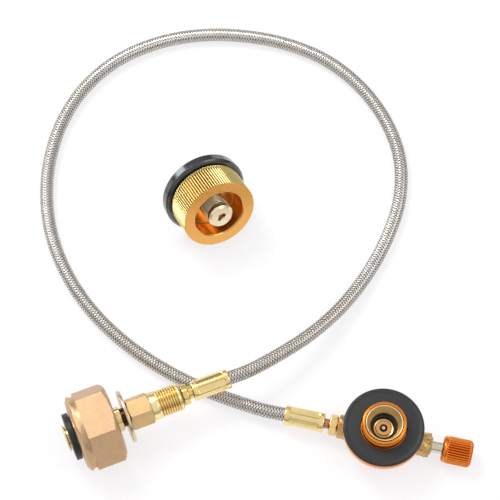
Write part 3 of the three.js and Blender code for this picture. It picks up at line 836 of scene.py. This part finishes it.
def ferrule(name, axis, start, end, hose_at_end, node, turn):
    """A crimped sleeve: six long flats sunk into it, each with rounded ends and a crisp rim."""
    radius, flat, press_end, blend_run, sunk = 4.1, 3.80, 1.5, 1.3, 0.2
    middle, half = (start + end) / 2, (end - start) / 2
    sign = 1 if hose_at_end else -1

    def pressed(along, reach, angle):
        near = (angle - turn + math.pi / 6) % (math.pi / 3) - math.pi / 6
        beyond = np.clip((np.abs(along - middle) - (half - press_end - blend_run)) / blend_run, 0, 2)
        plane = (flat + (radius - flat) * beyond**2) / np.cos(near)
        gap = reach - plane
        dip = np.maximum(gap, 0) + sunk * smooth(gap / 0.2)
        return np.where(reach > 3.9, reach - dip, reach + 0 * angle)

    open_end, shut_end = (end, start) if hose_at_end else (start, end)
    outline = [(shut_end, 2.75, 0.1), (shut_end, 3.9, 0.35)]
    outline += span(shut_end + sign * 0.5, open_end - sign * 0.55, radius, 0.14)
    outline += [(open_end, 3.95, 0.3), (open_end, 3.15, 0.12), (shut_end + sign * 0.9, 3.1, 0.1)]
    outline += [(shut_end + sign * 0.8, 2.75, 0.1)]
    piece = turned(name, axis, outline, sides=240, shape=pressed, sharp=50)
    dress(piece, ferrule_brass, "hose_assembly", "bright_brass", node)


make_tank_end()
ferrule("ferrule_tank_fine", TANK, 28.0, 43.8, True, "ferrule_tank", math.radians(26))
ferrule("ferrule_valve_fine", ARM, -40.7, -24.1, False, "ferrule_valve", math.radians(-18))


# ---------------------------------------------------------------- valve
KNOB_RIDGES = 32


def lumpy(amount, scale, low, high, over):
    """Cast unevenness on the outside of a turned form."""

    def shape(along, radius, angle):
        along, radius, angle = np.broadcast_arrays(along, radius, angle)
        out = np.array(radius, float)
        for i, j in np.ndindex(out.shape):
            if out[i, j] > over and low < along[i, j] < high:
                turn = angle[i, j]
                spot = Vector((along[i, j], out[i, j] * math.cos(turn), out[i, j] * math.sin(turn)))
                coarse, fine = noise.noise(spot * scale), noise.noise(spot * scale * 2.3)
                out[i, j] += amount * (coarse + 0.5 * fine)
        return out

    return shape


def make_valve_body():
    rough = lumpy(0.2, 0.8, -30, 30, 4.0)
    scallops = ridged(11, 0.6, 17.4, 20.8, 4.3, run=1.3, narrow=1.0)

    def scalloped(along, radius, angle):
        return rough(along, scallops(along, radius, angle), angle)

    right = turned(
        "valve_body_fine", ARM,
        [(-5, 3.0, 0), (-5, 4.9, 0), *span(-4.6, 17.6, 4.9, 0.35), *span(18.0, 19.5, 5.0, 0.3),
         (19.9, 4.7, 0.2), (20.0, 4.0, 0.1), (20.0, 3.9, 0), (16.0, 3.9, 0), (16.0, 3.0, 0)],
        sides=132, shape=scalloped,
    )
    left = turned(
        "valve_left", ARM,
        [(-18.4, 2.3, 0), (-18.4, 4.4, 0.35), *span(-18.0, 4.6, 4.9, 0.4), (5, 4.9, 0), (5, 3.1, 0),
         (-14, 3.1, 0), (-14, 2.3, 0)],
        sides=110, shape=rough,
    )
    body = turned(
        "valve_middle", HEAD,
        [(0.0, 3.0, 0), (0.0, 8.9, 0.6), (0.8, 9.4, 0.5), *span(1.4, 11.0, 9.4, 0.7),
         (12.3, 9.4, 0.3), (12.3, 3.0, 0)],
        sides=120, shape=lumpy(0.08, 0.8, 0.9, 12, 9.0),
    )
    combined(right, left, "UNION")
    combined(right, body, "UNION")
    dress(right, cast_brass, "hose_assembly", "cast_brass", "valve_body")


def make_valve():
    make_valve_body()
    gland = turned(
        "gland_nut_fine", ARM,
        [(16.5, 2.8), (16.5, 3.7), *span(17.0, 20.2, 3.75, 0.3), (20.6, 3.5, 0.25), (20.6, 2.8)],
        sides=120, shape=ridged(12, 0.25, 18.0, 21.9, 3.3, narrow=3),
    )
    dress(gland, cast_brass, "hose_assembly", "cast_brass", "gland_nut")
    union_angles, union_reach = hexagon(8.05, 0.25)
    rows = [(-14.6, 1.95), (-21.8, 1.95), (-22.0, 2.2)]
    rows += [(-22.0, 3.0)] + chamfer_rows(-22.0, 1, 3.75, union_reach, 0.1)
    rows += [(-20.3, union_reach)] + chamfer_rows(-18.7, -1, 3.8, union_reach, 0.1)[::-1]
    rows += [(-18.7, 2.9), (-18.65, 2.75), (-18.4, 2.7), (-14.6, 2.7)]
    union = from_rows("union_nut_fine", ARM, rows, union_angles, sharp=32)
    dress(union, arm_brass, "hose_assembly", "bright_brass", "union_nut")
    tail = turned(
        "hose_tail_valve_fine", ARM,
        [(-40.5, 1.0), (-40.5, 1.85), (-24.4, 1.85), (-24.0, 2.05), (-22.3, 2.05, 0.1), (-22.1, 1.9),
         (-14.6, 1.9), (-14.6, 1.0)],
    )
    dress(tail, copper_brass, "hose_assembly", "copper_tail", "hose_tail_valve")

    head = turned(
        "valve_head_fine", HEAD,
        [(12.6, 7.0), (12.6, 15.6, 0.5), (13.4, 16.45, 0.5), (16.2, 16.45, 0.25), (16.2, 8.8),
         (18.7, 8.8, 0.1), (19.0, 9.05, 0.25), (20.3, 9.05, 0.35), (20.6, 8.35, 0.2),
         (21.5, 8.35, 0.2), (21.9, 9.0, 0.3), (22.9, 8.95, 0.45), (23.2, 8.4, 0.25), (23.2, 8.1, 0.12),
         (22.9, 7.85, 0.1), (17.0, 7.85), (17.0, 5.9), (14.6, 5.9), (14.6, 3.4), (10.3, 3.4), (10.3, 6.5),
         (12.2, 6.5)],
        sides=144,
    )
    dress(head, head_orange, "hose_assembly", "orange_anodised", "valve_head")
    pad = turned(
        "support_pad_fine", HEAD,
        [(16.5, 9.2, 0.2), (16.35, 16.2, 0.3), (16.9, 16.5, 0.3), (17.5, 16.45, 0.5), (17.95, 15.7, 0.5),
         (17.85, 15.0, 0.4), (17.75, 14.4, 0.6), (17.9, 11.2, 0.4), (18.0, 9.5, 0.25)],
        sides=144,
    )
    dress(pad, pad_rubber, "hose_assembly", "black_rubber", "support_pad")
    ring = turned(
        "socket_ring_fine", HEAD,
        [(17.3, 5.6), (17.3, 7.6), (22.9, 7.6, 0.2), (23.2, 7.4, 0.15), (23.0, 7.1, 0.15),
         (20.4, 6.2, 0.9), (18.9, 5.6, 0.2)],
        sides=144, steps=6,
    )
    dress(ring, head_brass, "hose_assembly", "bright_brass", "socket_ring")
    core = turned(
        "socket_core_fine", HEAD,
        [(14.7, 1.3), (14.7, 4.2), (15.6, 4.2, 0.2), (15.8, 3.95, 0.1), (15.6, 3.3, 0.1),
         (16.3, 3.05, 0.2), (16.3, 1.75, 0.1), (15.9, 1.35, 0.1)],
    )
    dress(core, core_brass, "hose_assembly", "bright_brass", "socket_core")
    o_ring = turned(
        "socket_o_ring_fine", HEAD,
        [(14.7, 4.5, 0.2), (14.7, 5.6, 0.2), (18.7, 5.62, 0.1), (18.7, 5.35, 0.15),
         (16.6, 5.2, 0.5), (16.2, 4.6, 0.4)],
        steps=6,
    )
    dress(o_ring, seal_rubber, "hose_assembly", "black_rubber", "socket_o_ring")
    pin = turned(
        "opener_pin_fine", HEAD,
        [(7.5, 0.0, 0), (7.5, 0.9, 0.1), (16.5, 0.9, 0.25), (16.8, 0.5, 0.15), (16.8, 0.0, 0)],
        sides=40, ring=False,
    )
    dress(pin, plain_steel, "hose_assembly", "steel", "opener_pin")


def make_knob():
    spindle = turned(
        "spindle_fine", ARM,
        [(4.0, 0.0, 0), (5.2, 1.6, 0.1), (6.5, 2.2, 0.2), (11.6, 2.3), (11.6, 1.6), (13.0, 1.6),
         (13.0, 2.3), (35.2, 2.4, 0.1), (35.2, 0.0, 0)],
        ring=False,
    )
    dress(spindle, stem_metal, "knob_and_spindle", "steel", "spindle")
    knob = turned(
        "control_knob_fine", ARM,
        [(25.0, 2.75, 0.15), (25.0, 4.4, 0.6), (25.5, 5.3, 0.5), (26.3, 5.45, 0.3), (26.75, 5.2, 0.2),
         (27.0, 5.55, 0.15), *span(27.3, 35.9, 5.6, 0.3), (36.6, 5.3, 0.5), (37.25, 4.4, 0.4),
         (37.25, 3.6, 0.2), (36.9, 3.2, 0.3), (36.8, 1.2, 0.2), (35.6, 0.9, 0.1), (35.6, 2.75, 0.1)],
        sides=12 * KNOB_RIDGES, sharp=60,
        shape=ridged(KNOB_RIDGES, 0.6, 26.9, 36.6, 4.9, run=0.7, narrow=1.2),
    )
    dress(knob, knob_orange, "knob_and_spindle", "orange_anodised", "control_knob")


make_valve()
make_knob()


# ---------------------------------------------------------------- nozzle adapter
SHELL_RIDGES = 90


def make_spring():
    """The coil behind the poppet, built at one fixed length."""
    start, end, turns, radius, wire = 3.2, 10.0, 5, 1.75, 0.25
    steps_a_turn, wire_sides = 28, 12
    step = np.linspace(0, 1, turns * steps_a_turn + 1)[:, None]
    around = np.linspace(0, TURN, wire_sides, endpoint=False)[None, :]
    rows = ADAPTER.place(
        start + (end - start) * step + wire * np.sin(around),
        radius + wire * np.cos(around),
        turns * TURN * step + 0 * around,
    )
    spring = skin("adapter_spring_fine", rows, ring=False, sharp=75)
    dress(spring, plain_steel, "adapter", "steel", "adapter_spring")
    foot = ADAPTER.place(start - wire, 0.0, 0.0)
    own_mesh(spring)


def slotted(half_length, half_width):
    """Turns a form of radius 1 into one with the outline of a slot with round ends."""

    def shape(along, radius, angle):
        across, run = np.abs(np.sin(angle)), np.abs(np.cos(angle))
        cap = half_length * run + np.sqrt(np.maximum(half_width**2 - (half_length * across) ** 2, 0))
        side = half_width / np.maximum(across, 1e-6)
        return radius * np.where(side * run > half_length, cap, side)

    return shape


def notched(along, radius, angle):
    """Four tool notches in the rim of the lock ring."""
    depth, narrow = 0.9, 40
    return np.where(radius > 8, radius - depth * np.cos(2 * angle) ** narrow, radius + 0 * angle)


def make_adapter():
    base = turned(
        "adapter_base_fine", ADAPTER,
        [(0.0, 14.1, 0.3), (0.0, 17.3, 0.5), (0.6, 18.15, 0.3), (3.9, 18.15, 0.25), (4.3, 17.6, 0.2),
         (4.8, 17.3, 0.25), (4.8, 4.4), (2.6, 4.4), (2.6, 14.0)],
        sides=160,
    )
    dress(base, base_plastic, "adapter", "black_plastic", "adapter_base")
    shell = turned(
        "adapter_shell_fine", ADAPTER,
        [(5.1, 4.4), (5.1, 15.4, 0.2), (5.5, 16.0, 0.2), *span(5.8, 17.8, 16.1, 0.6),
         (18.3, 16.1, 0.12), (18.5, 15.8, 0.12), (18.5, 15.0, 0), (18.5, 11.3, 0.2),
         (18.0, 10.8, 0.25), (9.5, 10.8, 0.5), (9.5, 4.4)],
        sides=10 * SHELL_RIDGES, sharp=60,
        shape=ridged(SHELL_RIDGES, 0.5, 5.6, 18.6, 15.85, run=0.3, narrow=0.9),
    )
    dress(shell, shell_gold, "adapter", "gold_anodised", "adapter_shell")
    post = turned(
        "adapter_post_fine", ADAPTER,
        [(0.5, 2.65), (0.5, 3.9), (9.7, 3.9), (9.8, 5.3, 0.1), *span(10.0, 17.9, 5.5, 0.09),
         (18.1, 5.0, 0.1), (18.5, 5.0, 0.1), (18.7, 5.5, 0.1), (19.7, 5.5, 0.2), (20.55, 4.7, 0.2),
         (20.6, 1.6, 0.1), (20.3, 1.2, 0.1), (12.2, 1.2), (12.0, 2.6)],
        sides=120, shape=threaded(4.85, 5.5, 0.907, 10.2, 17.9), sharp=60,
    )
    slot_cutter = turned(
        "slot", Axis(ADAPTER.origin, ADAPTER.ahead, (0.74, 0.57, 0.37)),
        [(18.9, 0, 0), (18.9, 1, 0), (21.5, 1, 0), (21.5, 0, 0)],
        sides=72, ring=False, shape=slotted(0.95, 1.12),
    )
    combined(post, slot_cutter, "DIFFERENCE", sharp=60)
    dress(post, post_brass, "adapter", "bright_brass", "adapter_post")
    lock = turned(
        "adapter_lock_ring_fine", ADAPTER,
        [(0.5, 4.2), (0.5, 8.3), (2.3, 8.3), (2.3, 4.2)],
        sides=144, shape=notched,
    )
    dress(lock, post_brass, "adapter", "bright_brass", "adapter_lock_ring")
    gasket = turned(
        "adapter_gasket_fine", ADAPTER,
        [(0.8, 9.2, 0.3), (0.7, 10.2, 0.4), (1.0, 11.2, 0.4), (0.7, 12.3, 0.4), (0.8, 13.5, 0.3),
         (2.3, 13.6), (2.3, 9.2)],
    )
    dress(gasket, seal_rubber, "adapter", "black_rubber", "adapter_gasket")
    plug = turned(
        "adapter_spring_plug_fine", ADAPTER,
        [(0.9, 0.8), (0.9, 2.3), (2.6, 2.3), (2.6, 0.8)],
        sides=48,
    )
    dress(plug, post_brass, "adapter", "bright_brass", "adapter_spring_plug")
    make_spring()


make_adapter()

# ---------------------------------------------------------------- parts that are seen as packed
KEPT_NODES = {
    "nut_slip_ring": plain_steel, "nipple_o_ring": seal_rubber, "spindle_o_ring": seal_rubber,
    # The poppet takes the darkened brass: painted shade inside the slot.
    "adapter_poppet": poppet_brass,
}
for node_name, finish in KEPT_NODES.items():
    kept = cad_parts[node_name]
    kept.data.materials.clear()
    kept.data.materials.append(finish)


# ---------------------------------------------------------------- floor
PAPER = (0.34, 0.33, 0.335)
PAPER_GLOW = (0.68, 0.68, 0.69)
FLOOR_POINTS = 9


def make_floor():
    paint = Paint("floor_paper")
    shade = paint.mix(paint.noise(9, 2.0), scaled(PAPER, 0.97), PAPER)
    material = paint.done(shade, paint.spread(paint.noise(40, 2.0), 0, 1, 0.75, 0.9))
    paint.shader.inputs["Emission Color"].default_value = (*PAPER_GLOW, 1)
    paint.shader.inputs["Emission Strength"].default_value = 1.0
    paint.shader.inputs["Specular IOR Level"].default_value = 0.1
    steps = np.linspace(-FLOOR_HALF, FLOOR_HALF, FLOOR_POINTS)
    points = [(x, y, 0.0) for y in steps for x in steps]
    row, column = np.divmod(np.arange((FLOOR_POINTS - 1) ** 2), FLOOR_POINTS - 1)
    first = row * FLOOR_POINTS + column
    faces = np.stack([first, first + 1, first + FLOOR_POINTS + 1, first + FLOOR_POINTS], -1)
    floor = new_object("floor", points, faces.tolist())
    floor.data.materials.append(material)


make_floor()
